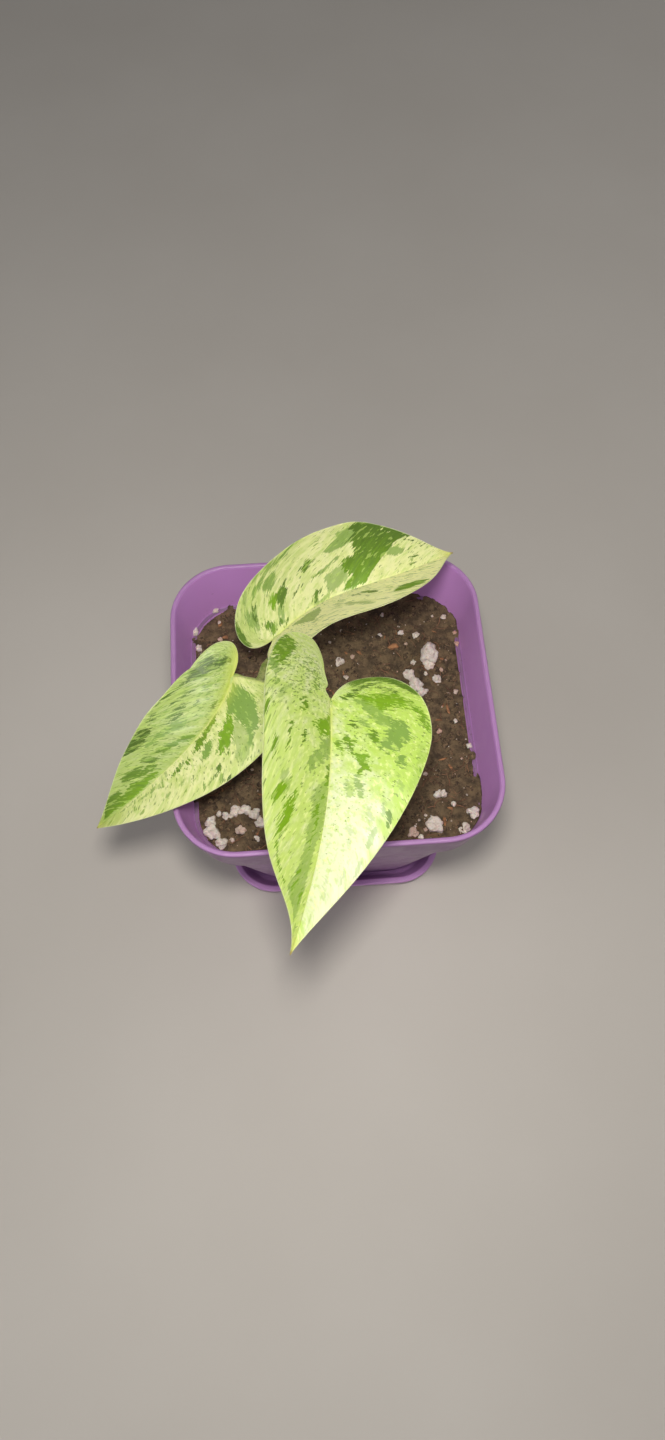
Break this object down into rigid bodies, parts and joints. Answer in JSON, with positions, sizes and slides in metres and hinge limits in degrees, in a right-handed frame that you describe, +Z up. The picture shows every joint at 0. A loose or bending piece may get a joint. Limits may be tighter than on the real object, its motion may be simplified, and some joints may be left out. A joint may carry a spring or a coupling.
{
  "type": "potted snow queen pothos",
  "caption": "Young variegated pothos with heart-shaped leaves on long petioles, rooted in perlite soil in a square plastic pot that stands on a shallow saucer.",
  "frame": {"origin": "middle of the saucer's flat underside, below the middle of the pot", "axes": "+Z up, the pot's square sides along X and Y, -Y the front, where the largest leaf hangs out over the rim"},
  "size_m": [0.1863, 0.2031, 0.2269],
  "materials": {
    "pot": "lilac purple moulded plastic, satin, with a paler lip",
    "saucer": "deeper purple moulded plastic, satin",
    "soil": "dark peat mix with bark fibres and white perlite grains",
    "stem": "waxy green vine",
    "leaf": "waxy leaf, cream with lime, mid green and grey-green streaks and specks",
    "petiole": "waxy pale green leaf stalk"
  },
  "bodies": {
    "root": {"pot": "pot", "saucer": "saucer", "soil": "soil", "stem": "stem", "leaf_front": "leaf", "leaf_left": "leaf", "leaf_back": "leaf", "petiole_front": "petiole", "petiole_left": "petiole", "petiole_back": "petiole"}
  },
  "joints": []
}
